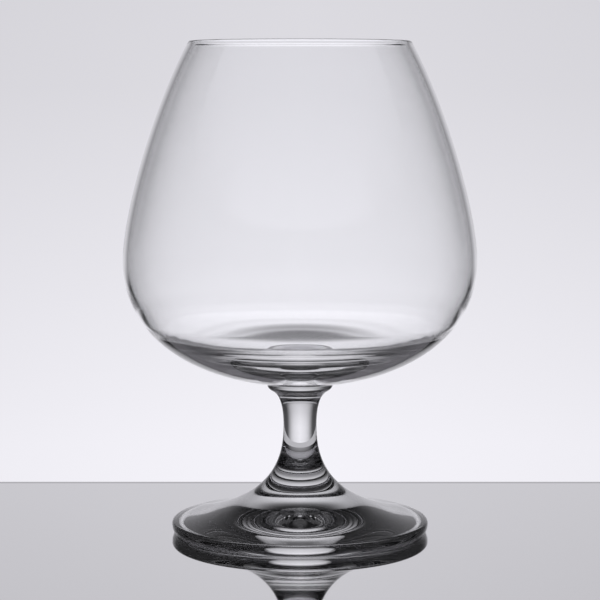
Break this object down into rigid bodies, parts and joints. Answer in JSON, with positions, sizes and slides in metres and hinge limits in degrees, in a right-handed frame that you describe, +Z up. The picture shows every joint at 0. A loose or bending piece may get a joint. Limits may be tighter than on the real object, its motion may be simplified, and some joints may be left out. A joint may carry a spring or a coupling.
{
  "type": "brandy snifter",
  "caption": "Clear glass snifter: a wide bowl that narrows to its mouth, on a short waisted stem and a round foot, for holding and warming brandy.",
  "frame": {"origin": "centre of the ring that the foot rests on, at table height", "axes": "+Z up along the axis of the glass, from the foot to the mouth; X and Y are alike, because the glass is round"},
  "size_m": [0.108, 0.108, 0.1505],
  "materials": {
    "blown_glass": "clear soda-lime glass, fire-polished, with the faint waviness of blowing",
    "drawn_glass": "clear soda-lime glass, fire-polished, with faint marks of the tool round it",
    "pressed_glass": "clear soda-lime glass, pressed, fire-polished on top and worn dull where it rests"
  },
  "bodies": {
    "root": {"bowl": "blown_glass", "stem": "drawn_glass", "foot": "pressed_glass"}
  },
  "joints": []
}
